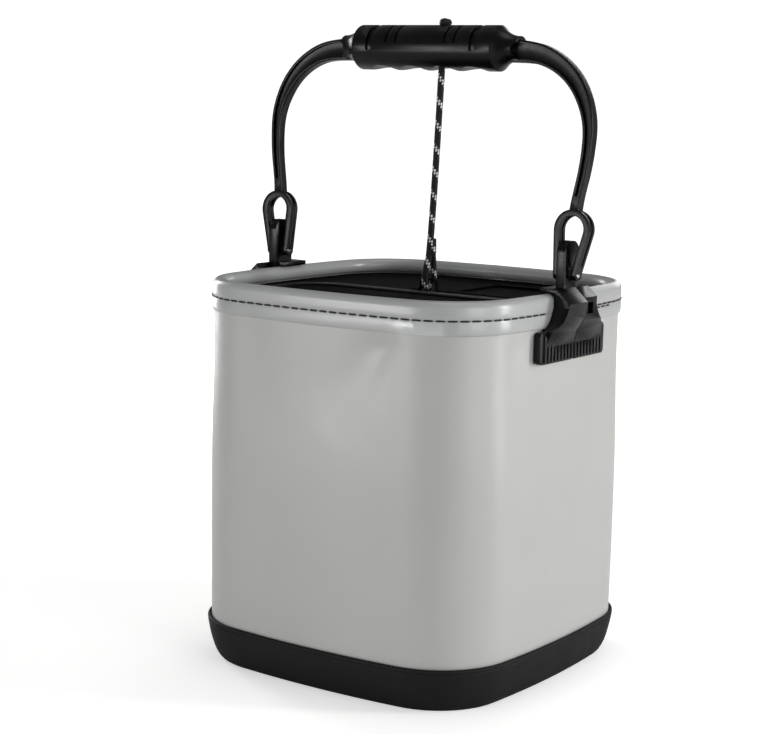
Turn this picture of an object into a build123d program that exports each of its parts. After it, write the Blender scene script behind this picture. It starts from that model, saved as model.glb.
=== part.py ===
from build123d import *
from math import asin, cos, degrees, radians, sin, sqrt, tan
import os

# A collapsible square bucket: soft wall in a moulded tray, stiff rim, zipped cover and a swinging bail handle.
# The bucket stands on Z = 0 with its middle on the Z axis, and the handle bar runs along X.
# Millimetres throughout. "Grow" is a distance outwards from the collar's outer face.

# Plan of the bucket, at the collar's outer face
side_reach = 102.7          # middle of a side, from the Z axis
side_radius = 600.0         # the sides bow outwards a little
corner_radius = 48.0

# Base
tray_height = 26.0
tray_floor = 5.0
tray_grow = 2.5
tray_edge_radius = 9.5
tray_lip_radius = 0.8

# Sheet wall and rim
bucket_height = 227.7
sheet = 1.2
part_gap = 0.3              # between pieces that touch or move past each other
roll_radius = 4.25
roll_wall = 1.2
collar_sheet = 1.0
hem_below_roll = 10.0       # from the roll's underside to the hem's lower edge
wall_below_roll = 2.2       # from the roll's underside to the top of the sheet wall
seam_width = 14.0
seam_sheet = 0.8
seam_x = 5.0
binding_depth = 10.0
binding_sheet = 1.4

# Stitching on the collar
stitch_below_roll = 1.8
stitch_pitch = 6.5
stitch_length = 4.4
stitch_thick = 0.7

# Zipped cover
cover_below_roll = 1.2
cover_sheet = 1.0
flap_side_margin = 19.2     # from the side's outer face to the zipper's centre line
hinge_margin = 34.7         # from the near side's outer face to the flap's hinge line
flap_back_y = 4.0
flap_corner = 22.0
hinge_gap = 0.4
teeth_gap = 1.2
tooth_width = 2.2
tooth_height = 2.0
tape_width = 4.4
tape_sheet = 0.8
mesh_left_x = 4.0
mesh_side_margin = 38.7
mesh_back_margin = 25.7
mesh_from_tape = 9.8
mesh_sheet = 0.7
mesh_pitch = 3.7
mesh_hole_radius = 1.25
mesh_lap = 3.0

# Zip slider and puller
slider_length = 11.0
slider_width = 8.4
slider_plate = 1.3
slider_corner = 1.6
puller_past_corner = 14.3   # how far the puller's free end reaches past where the corner begins
slider_post = 0.5
lug_thick = 2.0
lug_length = 6.0
lug_rise = 2.8
lug_eye_radius = 0.75
lug_eye_below = 1.25
puller_length = 20.0
puller_width = 5.6
puller_sheet = 1.1
puller_pin_radius = 0.55
fork_length = 4.0

# Handle
clip_y = -4.0               # the clips and the handle's pivots sit this far from the middle of the side
handle_lean = 4.9           # degrees back from upright, as the handle stands at rest
pivot_above_top = 10.3
grip_rise = 123.4           # from the pivot to the middle of the grip
grip_radius = 13.0
grip_half = 48.7
grip_edge = 1.0
cone_length = 12.3
cone_tip_radius = 7.0
deep_groove = (4.0, 1.7, -3.0)      # width, depth and how far below the grip's middle it starts
fine_groove = (1.5, 0.9, 1.5)
deep_groove_x = 36.0
fine_groove_x = (17.0, 23.7)
finger_x = (10.5, 31.5)
finger_depth = 2.0
finger_radius = 23.6
arm_depth = 6.6
arm_web = 2.4
arm_border = 1.8
arm_edge = 0.8
loop_depth = 7.0
loop_strip = 3.4
loop_rise = 24.6            # from the pivot to the middle of the loop's round top
loop_outset = 2.2           # from the lever's middle to the loop's
loop_radius = 9.4
loop_groove_depth = 0.6
loop_groove_width = 2.8
leg_gap = 1.2
leg_end_radius = 3.6
pin_radius = 2.0
pin_play = 0.08

# Handle clips
lever_inset = 0.7
lever_thick = 5.4
lever_half_width = 7.8
lever_above_pivot = 18.5
lever_corner = 6.6
plate_half_width = 35.5
plate_shift = 3.5           # from the pivot towards the latch half
plate_height = 18.0
plate_below_hem = 1.2
plate_proud = 2.5
plate_corner = 2.6
rib_count = 18
rib_proud = 1.0
rib_share = 0.54            # of the pitch that a rib fills
short_rib = 9.5
long_rib = 15.8
block_proud = 10.5
block_rise = 2.9            # above the rim's top
block_tip_drop = 4.9        # below the rim's top
block_front = 15.0
block_back = 19.0
waist_rise = 5.5            # above the plate, where the neck is narrowest in its curve
fan_half_width = 28.5
half_gap = 0.36
seam_step_y = 5.0
seam_step_rise = 4.8        # above the hem
window_y = (9.0, 15.0)
window_drop = (12.2, 5.7)   # below the rim's top
backing_sheet = 1.3
screw_radius = 1.25
screw_head_radius = 3.0
screw_head = 1.6
screw_bite = 2.6
screw_places = (-26.0, -11.0, 11.0, 26.0)     # either side of the plate's middle

# Rope
rope_radius = 2.0
rope_play = 0.4
rope_x = 8.5
knot_radius = 3.6
knot_height = 4.0
splice_above_top = 15.3
splice_length = 10.0
splice_swell = (0.8, 0.25)     # past the rope's own radius, at its lower and upper end
eye_radius = 4.6
tab_x = -4.0
tab_from_zipper = 12.0
tab_width = 3.4
tab_sheet = 1.0
tab_half_span = 6.0
tab_foot = 6.0

# Places that follow from the sizes above
wall_outer = -collar_sheet - part_gap
wall_inner = wall_outer - sheet
roll_z = bucket_height - roll_radius
roll_low = bucket_height - 2 * roll_radius
wall_top = roll_low - wall_below_roll
hem_z = roll_low - hem_below_roll
binding_outer = wall_inner - part_gap
cover_outer = binding_outer - binding_sheet
cover_top = roll_low - cover_below_roll
panel_low = cover_top - cover_sheet
flap_half_width = side_reach - flap_side_margin
hinge_y = hinge_margin - side_reach
teeth_in = teeth_gap / 2
teeth_out = teeth_in + tooth_width
tape_top = cover_top + tape_sheet
tooth_low = cover_top + tape_sheet / 2 - tooth_height / 2
tooth_top = tooth_low + tooth_height
slider_y = corner_radius - side_reach - puller_past_corner + puller_length
slider_low = slider_y - slider_length / 2
slider_high = slider_y + slider_length / 2
puller_z = tooth_top + part_gap + slider_plate + lug_rise - lug_eye_below
pivot_z = bucket_height + pivot_above_top
grip_z = pivot_z + grip_rise
cone_reach = grip_half + cone_length
lever_x = side_reach - lever_inset
lever_in_x = lever_x - lever_thick / 2
lever_out_x = lever_x + lever_thick / 2
lever_top = pivot_z + lever_above_pivot
leg_inner_x = lever_in_x - leg_gap - loop_strip / 2
leg_outer_x = lever_out_x + leg_gap + loop_strip / 2
loop_x = lever_x + loop_outset
plate_top = hem_z - plate_below_hem
plate_bottom = plate_top - plate_height
plate_face_x = side_reach + plate_proud
screw_z = (plate_bottom + plate_top) / 2
screw_end_x = side_reach + wall_outer + part_gap + screw_bite
block_tip_x = side_reach + block_proud
block_top_z = bucket_height + block_rise
block_tip_z = bucket_height - block_tip_drop
well_out = side_reach + 40
parts = {}


# Outlines and simple shapes

def plan_numbers(grow):
    """Side middle, corner radius and side end, for one layer of the wall."""
    rest = side_radius - side_reach
    gap = side_radius - corner_radius
    centre = (-rest + sqrt(2 * gap ** 2 - rest ** 2)) / 2
    turn = asin(centre / gap)
    end_x = (side_radius + grow) * sin(turn)
    end_y = (side_radius + grow) * cos(turn) - rest
    corner = centre + (corner_radius + grow) * sqrt(0.5)
    return side_reach + grow, corner, end_x, end_y


def outline_wire(grow):
    middle, corner, end_x, end_y = plan_numbers(grow)
    edges = []
    for turn in range(4):
        side = ThreePointArc((-end_x, end_y), (0, middle), (end_x, end_y))
        bend = ThreePointArc((end_x, end_y), (corner, corner), (end_y, end_x))
        edges += [edge.rotate(Axis.Z, -90 * turn) for edge in (side, bend)]
    return Wire(edges)


def path_from_middle(grow):
    """The outline as one closed wire that starts in the middle of the far side."""
    ordered = outline_wire(grow).order_edges()
    far = max(range(len(ordered)), key=lambda i: (ordered[i] @ 0.5).Y)
    ordered = ordered[far:] + ordered[:far]
    head = ordered[0].trim(0.5, 1.0)
    tail = ordered[0].trim(0.0, 0.5)
    return Wire([head] + list(ordered[1:]) + [tail])


def prism(grow, low, high):
    return extrude(Pos(0, 0, low) * make_face(outline_wire(grow)), high - low)


def ring(outer, inner, low, high):
    return prism(outer, low, high) - prism(inner, low - 1, high + 1)


def block(x, y, z):
    """A box between two values on each axis."""
    size = (x[1] - x[0], y[1] - y[0], z[1] - z[0])
    middle = ((x[0] + x[1]) / 2, (y[0] + y[1]) / 2, (z[0] + z[1]) / 2)
    return Pos(*middle) * Box(*size)


def rod(radius, start, end):
    """A round bar between two points."""
    way = Vector(*end) - Vector(*start)
    return extrude(Plane(origin=start, z_dir=way) * Circle(radius), way.length)


def solid_of(shape):
    """The one solid of a shape, or all of them as a group."""
    found = shape.solids()
    return found[0] if len(found) == 1 else Compound(children=list(found))


# Base: moulded tray, sheet wall and the wall's lapped seam

def base_tray():
    body = prism(tray_grow, 0, tray_height)
    body = fillet(body.faces().sort_by(Axis.Z)[0].edges(), tray_edge_radius)
    body = fillet(body.faces().sort_by(Axis.Z)[-1].edges(), tray_lip_radius)
    return body - prism(wall_outer, tray_floor, tray_height + 1)


def sheet_wall():
    wall = ring(wall_outer, wall_inner, tray_floor, wall_top)
    for side in (1, -1):
        for along in screw_places:
            y = clip_y + side * plate_shift + along
            start = (side * (side_reach - 12), y, screw_z)
            end = (side * well_out, y, screw_z)
            wall -= rod(screw_radius + part_gap, start, end)
    return wall


def wall_seam():
    strip = ring(wall_outer + seam_sheet, wall_outer, tray_height + part_gap, hem_z - part_gap)
    x = (seam_x - seam_width / 2, seam_x + seam_width / 2)
    return strip & block(x, (0, well_out), (0, bucket_height))


parts["base_tray"] = base_tray()
parts["sheet_wall"] = sheet_wall()
parts["wall_seam"] = wall_seam()


# Rim: rolled collar, the rod inside it, its stitching and the binding under it

def far_side_plane(grow, z):
    """A cross-section plane in the middle of the far side: X outwards, Y up."""
    return Plane(origin=(0, side_reach + grow, z), x_dir=(0, 1, 0), z_dir=(1, 0, 0))


def rim_collar():
    drop = sqrt(roll_radius ** 2 - (roll_radius - collar_sheet) ** 2)
    slant = roll_radius * sqrt(0.5)
    skin_low = (-collar_sheet, roll_z - drop)
    skin = [
        Line((0, roll_z), (0, hem_z)),
        Line((0, hem_z), (-collar_sheet, hem_z)),
        Line((-collar_sheet, hem_z), skin_low),
        ThreePointArc(skin_low, (-2 * roll_radius, roll_z), (-roll_radius, bucket_height)),
        ThreePointArc((-roll_radius, bucket_height), (slant - roll_radius, roll_z + slant), (0, roll_z)),
    ]
    profile = make_face(skin) - Pos(-roll_radius, roll_z) * Circle(roll_radius - roll_wall)
    return sweep(far_side_plane(0, 0) * profile, path=path_from_middle(0))


def rim_rod():
    section = far_side_plane(-roll_radius, roll_z) * Circle(roll_radius - roll_wall)
    return sweep(section, path=Pos(0, 0, roll_z) * path_from_middle(-roll_radius))


def stitching():
    """Dashes of thread along the collar, each its own solid, left out behind the clips."""
    path = outline_wire(stitch_thick / 2)
    count = int(path.length / stitch_pitch)
    z = roll_low - stitch_below_roll
    dashes = []
    for i in range(count):
        spot = path @ (i / count)
        way = path % (i / count)
        from_clip = (spot.Y - clip_y) * (1 if spot.X > 0 else -1)
        near_clip = abs(spot.X) > side_reach - 12 and -block_front - 5 < from_clip < block_back + 5
        if not near_clip:
            place = Plane(origin=(spot.X, spot.Y, z), x_dir=(way.X, way.Y, 0), z_dir=(0, 0, 1))
            dashes.append(place * Box(stitch_length, stitch_thick / 2, stitch_thick))
    return Compound(children=dashes)


parts["rim_collar"] = rim_collar()
parts["rim_rod"] = rim_rod()
parts["collar_stitching"] = stitching()
parts["cover_binding"] = ring(binding_outer, cover_outer, cover_top - binding_depth, cover_top)


# Cover: fixed panel with a mesh window, flap, and the zipper round the flap

def flap_outline(out):
    """The flap's shape, grown from the zipper's centre line; its straight front edge is the hinge."""
    half = flap_half_width + out
    back = flap_back_y + out
    bend = flap_corner + out
    slant = bend * (1 - sqrt(0.5))
    return make_face([
        Line((-half, hinge_y), (-half, back - bend)),
        ThreePointArc((-half, back - bend), (-half + slant, back - slant), (-half + bend, back)),
        Line((-half + bend, back), (half - bend, back)),
        ThreePointArc((half - bend, back), (half - slant, back - slant), (half, back - bend)),
        Line((half, back - bend), (half, hinge_y)),
        Line((half, hinge_y), (-half, hinge_y)),
    ])


def flap_slab(out, low, high):
    return extrude(Pos(0, 0, low) * flap_outline(out), high - low)


mesh_front_y = flap_back_y + teeth_out + tape_width + mesh_from_tape
mesh_x = (mesh_left_x, side_reach - mesh_side_margin)
mesh_y = (mesh_front_y, side_reach - mesh_back_margin)
mesh_size = (mesh_x[1] - mesh_x[0], mesh_y[1] - mesh_y[0])


def cover_panel():
    panel = prism(cover_outer, panel_low, cover_top)
    panel -= flap_slab(teeth_out + part_gap, panel_low - 1, cover_top + 1)
    open_x = (mesh_x[0] + mesh_lap, mesh_x[1] - mesh_lap)
    open_y = (mesh_y[0] + mesh_lap, mesh_y[1] - mesh_lap)
    return panel - block(open_x, open_y, (panel_low - 1, cover_top + 1))


def mesh_window():
    """One holed sheet under the panel's window."""
    columns = int((mesh_size[0] - 2 * mesh_lap) / mesh_pitch)
    rows = int((mesh_size[1] - 2 * mesh_lap) / mesh_pitch)
    hole = RegularPolygon(mesh_hole_radius, 6)
    net = Rectangle(*mesh_size) - GridLocations(mesh_pitch, mesh_pitch, columns, rows) * hole
    middle = Pos(sum(mesh_x) / 2, sum(mesh_y) / 2, panel_low - mesh_sheet)
    return extrude(middle * net, mesh_sheet)


def u_band(inner, outer, low, high):
    """A band that follows the zipper's U, between two distances from its centre line."""
    band = flap_slab(outer, low, high) - flap_slab(inner, low - 1, high + 1)
    return band & block((-side_reach, side_reach), (hinge_y + part_gap, side_reach), (low, high))


def flap_panel():
    """The moving part of the cover, notched so that it swings up past the parked slider."""
    flap = flap_slab(-teeth_out - part_gap, panel_low, cover_top)
    flap &= block((-side_reach, side_reach), (hinge_y + hinge_gap, side_reach), (panel_low, cover_top))
    notch_x = (flap_half_width - slider_width / 2 - part_gap, side_reach)
    return flap - block(notch_x, (slider_low - 1, slider_high + 1), (panel_low - 1, cover_top + 1))


def flap_band(inner, outer, low, high):
    """A band on the flap's side of the zipper, which leaves the parked slider free."""
    band = u_band(inner, outer, low, high)
    return band - block((0, side_reach), (-side_reach, slider_high + 2.0), (low - 1, high + 1))


parts["cover_panel"] = cover_panel()
parts["mesh_window"] = mesh_window()
parts["fixed_zip_tape"] = u_band(teeth_out, teeth_out + tape_width, cover_top, tape_top)
parts["fixed_zip_teeth"] = u_band(teeth_in, teeth_out, tooth_low, tooth_top)
parts["flap_panel"] = flap_panel()
parts["flap_zip_tape"] = flap_band(-teeth_out - tape_width, -teeth_out, cover_top, tape_top)
parts["flap_zip_teeth"] = flap_band(-teeth_out, -teeth_in, tooth_low, tooth_top)


# Zip slider and its puller, parked at the right-hand end of the zipper

def zip_slider():
    """Two plates over and under the teeth, a post between them and a lug on top."""
    x = flap_half_width
    plate_x = (x - slider_width / 2, x + slider_width / 2)
    y = (slider_low, slider_high)
    crown_low = tooth_top + part_gap
    crown_top = crown_low + slider_plate
    sole_top = panel_low - part_gap
    lug_top = crown_top + lug_rise
    crown = fillet(block(plate_x, y, (crown_low, crown_top)).edges().filter_by(Axis.Z), slider_corner)
    sole = block(plate_x, y, (sole_top - slider_plate, sole_top))
    sole = fillet(sole.edges().filter_by(Axis.Z), slider_corner)
    post_y = (slider_high - slider_length / 4, slider_high)
    post = block((x - slider_post / 2, x + slider_post / 2), post_y, (sole_top, crown_low))
    lug_y = (slider_y - lug_length / 2, slider_y + lug_length / 2)
    lug = block((x - lug_thick / 2, x + lug_thick / 2), lug_y, (crown_top, lug_top))
    lug = fillet(lug.edges().filter_by(Axis.X).group_by(Axis.Z)[-1], lug_rise / 2)
    eye = rod(lug_eye_radius, (x - lug_thick, slider_y, puller_z), (x + lug_thick, slider_y, puller_z))
    return crown + sole + post + lug - eye


def zip_puller():
    """A tab with a fork that straddles the slider's lug, lying towards the near side."""
    x = flap_half_width
    half = puller_width / 2
    slot_half = lug_thick / 2 + part_gap
    low = puller_z - puller_sheet / 2
    fork_end = slider_y + 2 * puller_pin_radius
    free_end = slider_y - puller_length
    tab = block((x - half, x + half), (free_end, fork_end), (low, low + puller_sheet))
    tab = fillet(tab.edges().filter_by(Axis.Z).group_by(Axis.Y)[0], half * 0.7)
    tab -= block((x - slot_half, x + slot_half), (slider_y - fork_length, fork_end + 1), (low - 1, low + 9))
    finger_hole = SlotOverall(puller_width * 0.9, puller_width * 0.4, rotation=90)
    tab -= extrude(Pos(x, free_end + puller_length / 4, low - 1) * finger_hole, 5)
    pin_half = slot_half + part_gap
    return tab + rod(puller_pin_radius, (x - pin_half, slider_y, puller_z), (x + pin_half, slider_y, puller_z))


parts["zip_slider"] = zip_slider()
parts["zip_puller"] = zip_puller()


# Clips: each is two moulded halves, clamped through the wall to a backing plate by four screws

def clip_plate():
    """The ribbed plate under the hem, as a block that is later cut back to the wall."""
    back = side_reach - 9
    plate_y = (plate_shift - plate_half_width, plate_shift + plate_half_width)
    plate = block((back, plate_face_x), plate_y, (plate_bottom, plate_top))
    plate = fillet(plate.edges().filter_by(Axis.X), plate_corner)
    pitch = 2 * (plate_half_width - plate_corner) / rib_count
    for i in range(rib_count):
        along = (i + 0.5 - rib_count / 2) * pitch
        rib = long_rib if abs(along) > plate_half_width * 0.58 else short_rib
        y = plate_shift + along
        rib_y = (y - pitch * rib_share / 2, y + pitch * rib_share / 2)
        plate += block((plate_face_x - 0.5, plate_face_x + rib_proud), rib_y, (plate_bottom + 1, plate_bottom + rib))
    return plate


def clip_neck():
    """The neck that rises from the plate and the block on top, from its side and front outlines."""
    back = side_reach - 9
    waist_z = plate_top + waist_rise
    shoulder_z = block_tip_z - 1.8
    foot_z = plate_bottom + plate_height / 2
    top = block_top_z + 1
    fan_y = (plate_shift - fan_half_width, plate_shift + fan_half_width)
    side_view = make_face(Polyline(
        (back, foot_z), (plate_face_x + 0.6, foot_z), (plate_face_x + 2.2, plate_top - 2),
        (block_tip_x - 1.4, waist_z), (block_tip_x, block_tip_z), (lever_out_x, block_top_z),
        (back, block_top_z), close=True))
    front_view = make_face([
        Polyline((fan_y[0] - 3, plate_bottom + 4), (fan_y[0] - 3, foot_z), (fan_y[0], plate_top)),
        ThreePointArc((fan_y[0], plate_top), (-block_front - 3.5, waist_z), (-block_front, shoulder_z)),
        Polyline((-block_front, shoulder_z), (-block_front, top), (block_back, top), (block_back, shoulder_z)),
        ThreePointArc((block_back, shoulder_z), (block_back + 4, waist_z), (fan_y[1], plate_top)),
        Polyline((fan_y[1], plate_top), (fan_y[1] + 3, foot_z), (fan_y[1] + 3, plate_bottom + 4),
                 (fan_y[0] - 3, plate_bottom + 4)),
    ])
    neck = extrude(Plane.XZ * side_view, 2 * plate_half_width, both=True)
    return neck & extrude(Plane.YZ * front_view, well_out)


def clip_body():
    """A whole right-hand clip about its own middle, before it is split in two."""
    window_z = (bucket_height - window_drop[0], bucket_height - window_drop[1])
    window = block((plate_face_x + 2.5, well_out), window_y, window_z)
    step = block((block_tip_x - 2.2, well_out), (seam_step_y + 0.4, well_out), (0, well_out + bucket_height))
    low = plate_bottom - 1
    vee = make_face(Polyline((plate_shift - 2.2, low), (plate_shift, plate_bottom + 2.6), (plate_shift + 2.2, low), close=True))
    return clip_plate() + clip_neck() - window - step - extrude(Plane.YZ * vee, well_out)


def clip_lever():
    """The upright that carries the handle's pin, on a foot over the roll."""
    x = (lever_in_x, lever_out_x)
    bottom = bucket_height + part_gap
    lever = block(x, (-lever_half_width, lever_half_width), (bottom, lever_top))
    lever = fillet(lever.edges().filter_by(Axis.X).group_by(Axis.Z)[-1], lever_corner)
    foot = block(x, (-block_front, 2.0), (bottom, block_top_z))
    bore = rod(pin_radius + pin_play, (lever_in_x - 1, 0, pivot_z), (lever_out_x + 1, 0, pivot_z))
    return lever + foot - bore


def behind_clip():
    """What the clip has to stay clear of: the wall below the hem and the collar above it."""
    low = prism(wall_outer + part_gap, plate_bottom - 9, hem_z - part_gap)
    high = prism(part_gap / 2, hem_z - part_gap, bucket_height + part_gap)
    return [Pos(0, shift, 0) * shape for shift in (clip_y, -clip_y) for shape in (low, high)]


def clip_halves():
    """The half with the lever and the half with the latch window, split at a stepped seam."""
    body = clip_body()
    for shape in behind_clip():
        body -= shape
    for along in screw_places:
        y = plate_shift + along
        body -= rod(screw_radius, (side_reach - 9, y, screw_z), (screw_end_x, y, screw_z))
    lever_half = body
    latch_half = body
    step_z = hem_z + seam_step_rise
    for seam_y, low, high in ((plate_shift, 0.0, step_z), (seam_step_y, step_z, block_top_z + 1)):
        lever_half -= block((0, well_out), (seam_y - half_gap / 2, well_out), (low, high))
        latch_half -= block((0, well_out), (-well_out, seam_y + half_gap / 2), (low, high))
    lever_half += clip_lever()
    above_rim = (bucket_height, block_top_z + 1)
    latch_half -= block((0, lever_out_x + half_gap), (-well_out, well_out), above_rim)
    return lever_half, latch_half


def in_place(shape, side):
    """A right-hand clip piece at the clips' place along Y, or turned to the left side."""
    turned = shape if side > 0 else shape.rotate(Axis.Z, 180)
    return Pos(0, clip_y, 0) * turned


def backing_plate(side):
    """The plate behind one clip, drawn on the right-hand side of the bucket."""
    outer = wall_inner - part_gap
    plate = ring(outer, outer - backing_sheet, plate_bottom + 1, plate_top - 1)
    half = plate_half_width - 4
    middle = clip_y + side * plate_shift
    return plate & block((0, side_reach), (middle - half, middle + half), (0, bucket_height))


def clip_screws(side):
    """Four screws for one clip, heads inside the bucket, drawn on the right-hand side."""
    head_x = side_reach + wall_inner - part_gap - backing_sheet - 1.4
    screws = []
    for along in screw_places:
        y = clip_y + side * plate_shift + along
        shank = rod(screw_radius, (head_x, y, screw_z), (screw_end_x, y, screw_z))
        head = rod(screw_head_radius, (head_x - screw_head, y, screw_z), (head_x, y, screw_z))
        head = fillet(head.edges().group_by(Axis.X)[0], screw_head * 0.45)
        screws.append(head + shank)
    return screws


lever_half, latch_half = clip_halves()
for side, name in ((1, "right"), (-1, "left")):
    parts[name + "_clip_lever_half"] = in_place(lever_half, side)
    parts[name + "_clip_latch_half"] = in_place(latch_half, side)

for side, name in ((1, "right"), (-1, "left")):
    screws = clip_screws(side)
    backing = backing_plate(side)
    for screw in screws:
        backing -= screw
    if side < 0:
        backing = backing.mirror(Plane.YZ)
        screws = [screw.mirror(Plane.YZ) for screw in screws]
    parts[name + "_backing_plate"] = backing
    parts[name + "_clip_screws"] = Compound(children=screws)


# Handle: one moulding, drawn upright with its pivot line on the X axis, then leaned back at its place

def groove(x, sizes):
    """A groove round the upper part of the grip."""
    width, depth, from_z = sizes
    outer = rod(grip_radius + 2, (x - width / 2, 0, grip_rise), (x + width / 2, 0, grip_rise))
    inner = rod(grip_radius - depth, (x - width, 0, grip_rise), (x + width, 0, grip_rise))
    reach = 2 * grip_radius
    upper = block((x - width, x + width), (-reach, reach), (grip_rise + from_z, grip_rise + reach))
    return (outer - inner) & upper


def grip():
    """The bar: a cylinder with coned ends, grooves on top and finger hollows below."""
    half = grip_half
    shoulder = grip_radius - grip_edge
    bend_x = half + 0.4 * cone_length
    bend_r = cone_tip_radius + 1.5
    profile = make_face([
        Line((-cone_reach, 0), (-cone_reach, cone_tip_radius)),
        ThreePointArc((-cone_reach, cone_tip_radius), (-bend_x, bend_r), (-half, shoulder)),
        Line((-half, shoulder), (grip_edge - half, grip_radius)),
        Line((grip_edge - half, grip_radius), (half - grip_edge, grip_radius)),
        Line((half - grip_edge, grip_radius), (half, shoulder)),
        ThreePointArc((half, shoulder), (bend_x, bend_r), (cone_reach, cone_tip_radius)),
        Line((cone_reach, cone_tip_radius), (cone_reach, 0)),
        Line((cone_reach, 0), (-cone_reach, 0)),
    ])
    body = Pos(0, 0, grip_rise) * revolve(Plane.XZ * profile, Axis.X)
    hollow_z = grip_rise - grip_radius + finger_depth - finger_radius
    for side in (1, -1):
        body -= groove(side * deep_groove_x, deep_groove)
        for x in fine_groove_x:
            body -= groove(side * x, fine_groove)
        for x in finger_x:
            body -= rod(finger_radius, (side * x, -2 * grip_radius, hollow_z), (side * x, 2 * grip_radius, hollow_z))
    return body


# Points down the arm's middle line, from inside the grip to the loop's top, as shares of the loop's distance
# from the Z axis and of the rise from the loop's top to the grip's middle, each with half the arm's width there
arm_line = (
    (0.480, 0.991, 6.6),
    (0.595, 0.982, 6.2),
    (0.720, 0.964, 5.7),
    (0.845, 0.901, 5.1),
    (0.941, 0.805, 4.6),
    (1.010, 0.675, 4.0),
    (1.045, 0.535, 3.4),
    (1.048, 0.400, 3.0),
    (1.033, 0.232, 2.8),
    (1.012, 0.097, 2.7),
    (1.002, 0.000, 2.9),
)


def arm_edges(inset):
    """The arm's outer and inner edge points, drawn in by an inset."""
    loop_top = loop_rise + loop_radius + 0.4
    line = [(share_x * loop_x, loop_top + share_z * (grip_rise - loop_top)) for share_x, share_z, half in arm_line]
    last = len(line) - 1
    outer = []
    inner = []
    for i, (x, rise) in enumerate(line):
        before = line[max(i - 1, 0)]
        after = line[min(i + 1, last)]
        along = Vector(after[0] - before[0], after[1] - before[1]).normalized()
        half = arm_line[i][2] - inset
        outer.append((x - along.Y * half, rise + along.X * half))
        inner.append((x + along.Y * half, rise - along.X * half))
    return outer, inner


def arm():
    """The right arm, and the pockets that leave a web down its middle."""
    outer, inner = arm_edges(0)
    shape = make_face([Spline(*outer), Line(outer[-1], inner[-1]), Spline(*inner[::-1]), Line(inner[0], outer[0])])
    body = extrude(Plane.XZ * shape, arm_depth / 2, both=True)
    long_edges = [edge for edge in body.edges() if edge.length > 4 * arm_depth]
    body = fillet(long_edges, arm_edge)
    outer, inner = arm_edges(arm_border)
    outer, inner = outer[1:-1], inner[1:-1]
    round_end = (outer[0][0] - 4.2, (outer[0][1] + inner[0][1]) / 2)
    bay = make_face([Spline(*outer), Line(outer[-1], inner[-1]), Spline(*inner[::-1]),
                     ThreePointArc(inner[0], round_end, outer[0])])
    pocket = extrude(Plane.XZ * bay, 2 * arm_depth, both=True)
    web = block((0, well_out), (-arm_web / 2, arm_web / 2), (0, grip_rise + grip_radius))
    return body, pocket - web


def tangent_point(centre, radius, point, side):
    """Where a line from a point touches a circle, on the left (-1) or right (1)."""
    way = Vector(centre[0] - point[0], centre[1] - point[1])
    turn = degrees(asin(radius / way.length))
    length = sqrt(way.length ** 2 - radius ** 2)
    touch = way.normalized().rotate(Axis.Z, -side * turn) * length
    return (point[0] + touch.X, point[1] + touch.Y)


def teardrop(grow):
    """The loop's outline, grown from the middle of its strip."""
    middle = (loop_x, loop_rise)
    radius = loop_radius + grow
    start = (leg_inner_x - grow, 0)
    end = (leg_outer_x + grow, 0)
    left = tangent_point(middle, radius, start, -1)
    right = tangent_point(middle, radius, end, 1)
    top = (middle[0], middle[1] + radius)
    low = -leg_end_radius
    return make_face([
        Line((start[0], low), start),
        Line(start, left),
        ThreePointArc(left, top, right),
        Line(right, end),
        Line(end, (end[0], low)),
        Line((end[0], low), (start[0], low)),
    ])


def loop():
    """A grooved teardrop loop whose two open legs end in round eyes for the pin."""
    grow = loop_strip / 2
    body = extrude(Plane.XZ * (teardrop(grow) - teardrop(-grow)), loop_depth / 2, both=True)
    upper = block((0, well_out), (-loop_depth, loop_depth), (0, grip_rise))
    eyes = rod(leg_end_radius, (0, 0, 0), (well_out, 0, 0))
    body &= upper + eyes
    groove_z = (leg_end_radius + 1, grip_rise)
    middle = block((0, well_out), (-loop_groove_width / 2, loop_groove_width / 2), groove_z)
    outer = teardrop(grow + 1) - teardrop(grow - loop_groove_depth)
    inner = teardrop(loop_groove_depth - grow) - teardrop(-grow - 1)
    for band in (outer, inner):
        body -= extrude(Plane.XZ * band, loop_depth, both=True) & middle
    return body


pin_start = (leg_inner_x - loop_strip / 2, 0, 0)
pin_end = (leg_outer_x + loop_strip / 2, 0, 0)
pin = rod(pin_radius, pin_start, pin_end)


def handle_moulding():
    right_arm, right_pocket = arm()
    right = right_arm + loop() - right_pocket - pin
    pockets = right_pocket + right_pocket.mirror(Plane.YZ)
    hole = rod(rope_radius + rope_play, (rope_x, 0, 0), (rope_x, 0, grip_rise + 2 * grip_radius))
    return grip() + right + right.mirror(Plane.YZ) - hole - pockets


def leaned(shape):
    """Leaned back about the pivot line, and moved to the clips."""
    return Location((0, clip_y, pivot_z), (-handle_lean, 0, 0)) * shape


def rope_top_knot():
    """The rope's stopper knot and the stretch inside the grip."""
    seat = grip_rise + grip_radius
    stub = rod(rope_radius, (rope_x, 0, grip_rise - grip_radius + 0.2), (rope_x, 0, seat + 1))
    lump = Pos(rope_x, 0, seat + knot_height - knot_radius) * Sphere(knot_radius)
    reach = 2 * knot_radius
    lump = lump & block((rope_x - reach, rope_x + reach), (-reach, reach), (seat + 0.02, seat + knot_height))
    skirt = rod(knot_radius, (rope_x, 0, seat + 0.02), (rope_x, 0, seat + 1.2))
    return stub + lump + skirt


parts["handle"] = leaned(handle_moulding())
parts["right_pivot_pin"] = leaned(pin)
parts["left_pivot_pin"] = leaned(pin.mirror(Plane.YZ))
parts["rope_top_knot"] = leaned(rope_top_knot())


# Rope: from the grip down to an eye round a sewn tab on the cover

def leaned_point(x, rise):
    """A point of the upright handle's middle plane, after the lean."""
    lean = radians(handle_lean)
    return (x, clip_y + rise * sin(lean), pivot_z + rise * cos(lean))


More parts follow.
